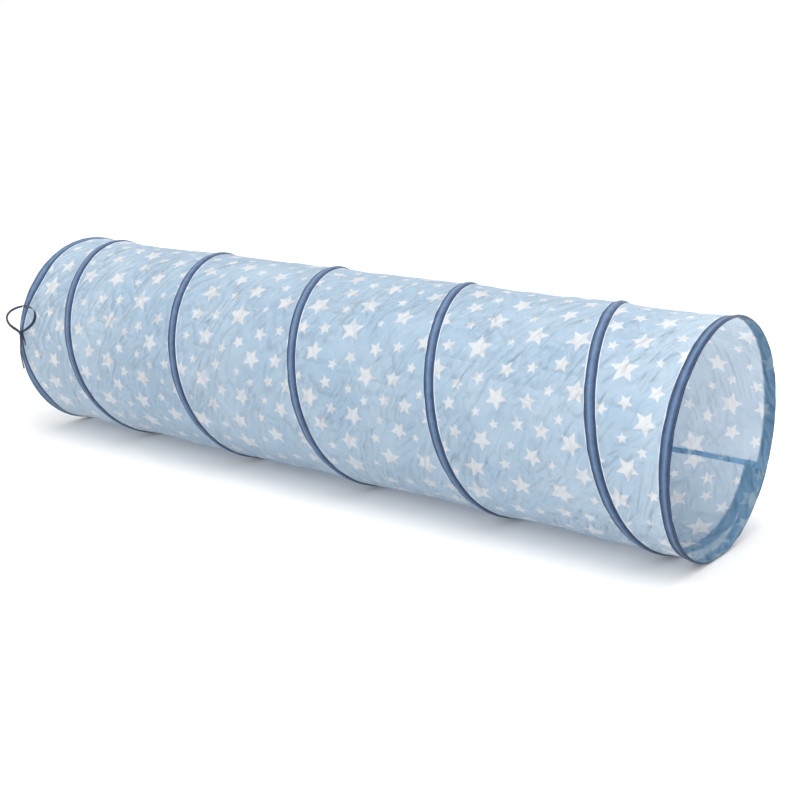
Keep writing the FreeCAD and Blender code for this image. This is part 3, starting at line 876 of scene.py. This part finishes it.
half_coil_tape = tape_width / 2 * COIL_COVER * coil_lead
tucks = [
    tuck_mesh(
        f"coil_tuck_{'far' if outwards > 0 else 'near'}", SEAM_ANGLE, SEAM_ANGLE + 360 * COIL_TURNS,
        lambda degrees: coil_place(degrees) + outwards * half_coil_tape,
        outwards, height, 40 + 3 * outwards,
    )
    for outwards, height in ((-1, 0.6), (1, 1.0))
]
tucks.append(tuck_mesh(
    "near_hoop_tuck", SEAM_ANGLE, SEAM_ANGLE + 360,
    lambda degrees: near_tape_low.x + tape_width * hoop_cover(-1, degrees), 1, 1.0, 51,
))
tucks.append(tuck_mesh(
    "far_hoop_tuck", SEAM_ANGLE, SEAM_ANGLE + 360,
    lambda degrees: far_tape_high.x - tape_width * hoop_cover(1, degrees), -1, 0.6, 54,
))

# ------------------------------------------------------------------ seam
# The sleeve's lengthwise seam: both edges turned in and sewn down flat inside, so it is three
# layers thick and stiffer than the cloth, and slightly puckered by its stitching.  Its colour is
# painted darker than the cloth, with the same painted shade as under the tapes, for the light that
# its layers hold back.
SEAM_WIDTH = 0.012
SEAM_CELLS = 520
SEAM_THICKNESS = 0.0011
SEAM_BOW = 0.0014
seam, seam_share, seam_side = flat_grid("sleeve_seam", SEAM_CELLS, 8)
seam_side = seam_side - 0.5
seam_across = sleeve_start + seam_share * (sleeve_end - sleeve_start)
level = np.zeros_like(seam_across)
seam_down = seam_side * SEAM_WIDTH * (1 + 0.10 * rippled(seam_across, level, 61, 0.03, 1.0))
seam_bow = SEAM_BOW * np.sin(seam_across / 0.021) * rippled(seam_across, level, 62, 0.12, 1.0)
seam_lift = SEAM_THICKNESS - 0.0006 * (np.abs(seam_side) * 2) ** 4
seam_lift = seam_lift + 0.0003 * rippled(seam_across, seam_down, 63, 0.006, 0.004)
seam_degrees = SEAM_ANGLE + np.degrees((seam_down + seam_bow) / sleeve_radius)
seam_radius = sleeve_radius + dip(clear_of_tape(seam_across, seam_degrees % 360)) - seam_lift
seam_front = np.radians(seam_degrees - 90) * sleeve_radius
bend(
    seam, (seam_across, *on_round(seam_degrees, seam_radius)),
    print=eased_print(seam_across, seam_front), cut=(seam_across, seam_front),
)
# Painted shade: the whole seam takes the darker, bluer tint that the sleeve's material paints under the
# tapes.
seam_shade = seam.data.attributes.new("painted_shade", "FLOAT", "POINT")
seam_shade.data.foreach_set("value", np.ones(len(seam.data.vertices)))
bpy.ops.object.shade_smooth()
seam.data.materials.append(sleeve.data.materials[0])
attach(seam, "near_hoop")
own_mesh(seam)

# ------------------------------------------------------------------ coil wire
# One length of hard-drawn spring wire, wound five times round inside the tape casing.  Its two
# cut ends stop short inside the moulded caps.
WIRE_DIAMETER = 0.0022
WIRE_SIDES = 10
WIRE_CELLS = 900
CHANNEL_DEPTH = 0.0021
CAP_HALF = 0.0035
WELD = 0.00002
channel_radius = ridge_radius - CHANNEL_DEPTH
cap_reach = math.degrees(CAP_HALF / channel_radius)
wire_start = SEAM_ANGLE + cap_reach
wire_end = SEAM_ANGLE + 360 * COIL_TURNS - cap_reach
coil_wire, wire_share, side_share = flat_grid("coil_wire", WIRE_CELLS, WIRE_SIDES)
wire_degrees = wire_start + wire_share * (wire_end - wire_start)
side = side_share * 2 * math.pi
wire_x = coil_place(wire_degrees) + np.cos(side) * WIRE_DIAMETER / 2
wire_radius = channel_radius - np.sin(side) * WIRE_DIAMETER / 2
bend(coil_wire, (wire_x, *on_round(wire_degrees, wire_radius)))
bpy.ops.object.mode_set(mode="EDIT")
bpy.ops.mesh.select_all(action="SELECT")
bpy.ops.mesh.remove_doubles(threshold=WELD)
bpy.ops.mesh.select_all(action="DESELECT")
bpy.ops.mesh.select_non_manifold()
bpy.ops.mesh.fill_holes(sides=0)
bpy.ops.mesh.select_all(action="SELECT")
bpy.ops.mesh.normals_make_consistent(inside=False)
bpy.ops.object.mode_set(mode="OBJECT")
bpy.ops.object.shade_smooth_by_angle(angle=math.radians(60))


def drawn_metal(name, colour, roughness, streak):
    """Bright drawn or rolled metal: fine streaks, and a little dulling in patches."""
    material, tree, add = new_material(name)
    place = add("TexCoord")
    drawn = add("TexNoise", Scale=streak, Detail=4.0)
    dull = add("ValToRGB")
    colour_stops(dull, (0.0, [value * 0.72 for value in colour]), (1.0, colour))
    rough = add("MapRange", To_Min=roughness - 0.08, To_Max=roughness + 0.12)
    bump = add("Bump", Strength=0.15, Distance=0.0001)
    shader = add("BsdfPrincipled", Metallic=1.0)
    output = add("OutputMaterial")
    wires(
        tree,
        (place.outputs["Object"], drawn.inputs["Vector"]),
        (drawn.outputs["Fac"], dull.inputs["Fac"]),
        (drawn.outputs["Fac"], rough.inputs["Value"]),
        (drawn.outputs["Fac"], bump.inputs["Height"]),
        (dull.outputs["Color"], shader.inputs["Base Color"]),
        (rough.outputs[0], shader.inputs["Roughness"]),
        (bump.outputs["Normal"], shader.inputs["Normal"]),
        (shader.outputs[0], output.inputs["Surface"]),
    )
    return material


wire_material = drawn_metal("spring_wire", (0.50, 0.50, 0.52), 0.34, 900.0)
coil_wire.data.materials.append(wire_material)
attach(coil_wire, "near_hoop")
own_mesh(coil_wire)
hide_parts(*(f"coil_wire_turn_{turn + 1}" for turn in range(COIL_TURNS)))

# ------------------------------------------------------------------ hoop wires, ferrules and caps
# Each hoop is one ring of the same wire, closed by a crimped steel ferrule on its foot.  The
# coil's two cut ends wear black moulded caps so that they can't work through the tape.
ferrule_material = drawn_metal("ferrule_steel", (0.62, 0.62, 0.60), 0.28, 350.0)
cap_material = grained("cap_rubber", (0.012, 0.012, 0.013), (0.030, 0.030, 0.032), 700.0, 0.3, 0.0002, 0.6)
for node, material in (
    ("near_hoop_wire", wire_material), ("far_hoop_wire", wire_material),
    ("near_hoop_ferrule", ferrule_material), ("far_hoop_ferrule", ferrule_material),
    ("coil_cap_near", cap_material), ("coil_cap_far", cap_material),
):
    for slot in bpy.data.objects[node].material_slots:
        slot.material = material

# ------------------------------------------------------------------ floor and light
# A plain white paper floor, which turns a little brighter away from the tunnel so that it has no
# far edge, and soft light from above, the front and behind the open end.
bpy.ops.mesh.primitive_plane_add(size=30)
floor = bpy.context.object
floor.name = "floor"
floor_material, floor_tree, add_floor = new_material("floor_paper")
floor_shader = add_floor(
    "BsdfPrincipled", Roughness=0.9, Base_Color=(0.80, 0.80, 0.80, 1), Emission_Color=(1, 1, 1, 1),
)
floor_reach = add_floor("VectorMath", operation="LENGTH")
floor_glow = add_floor("MapRange", From_Min=1.3, From_Max=3.5, To_Min=0.07, To_Max=0.40)
floor_output = add_floor("OutputMaterial")
wires(
    floor_tree,
    (add_floor("TexCoord").outputs["Object"], floor_reach.inputs[0]),
    (floor_reach.outputs["Value"], floor_glow.inputs["Value"]),
    (floor_glow.outputs[0], floor_shader.inputs["Emission Strength"]),
    (floor_shader.outputs[0], floor_output.inputs["Surface"]),
)
floor.data.materials.append(floor_material)

world = bpy.data.worlds.new("studio")
world.use_nodes = True
world.node_tree.nodes["Background"].inputs["Color"].default_value = (1, 1, 1, 1)
world.node_tree.nodes["Background"].inputs["Strength"].default_value = 1.0
bpy.context.scene.world = world


def softbox(name, place, aim, size, power):
    """A large square lamp that points at a place."""
    data = bpy.data.lights.new(name, "AREA")
    data.size = size
    data.energy = power
    lamp = bpy.data.objects.new(name, data)
    lamp.location = place
    lamp.rotation_euler = (Vector(aim) - Vector(place)).to_track_quat("-Z", "Y").to_euler()
    bpy.context.collection.objects.link(lamp)


softbox("overhead", (0.3, -0.6, 3.0), (0, 0, 0.2), 2.4, 60)
softbox("front", (1.5, -3.0, 2.2), (0, 0, 0.2), 2.0, 30)
softbox("behind", (0.9, 2.2, 1.3), (0.6, 0, 0.2), 1.6, 12)
bpy.context.scene.view_settings.view_transform = "Standard"
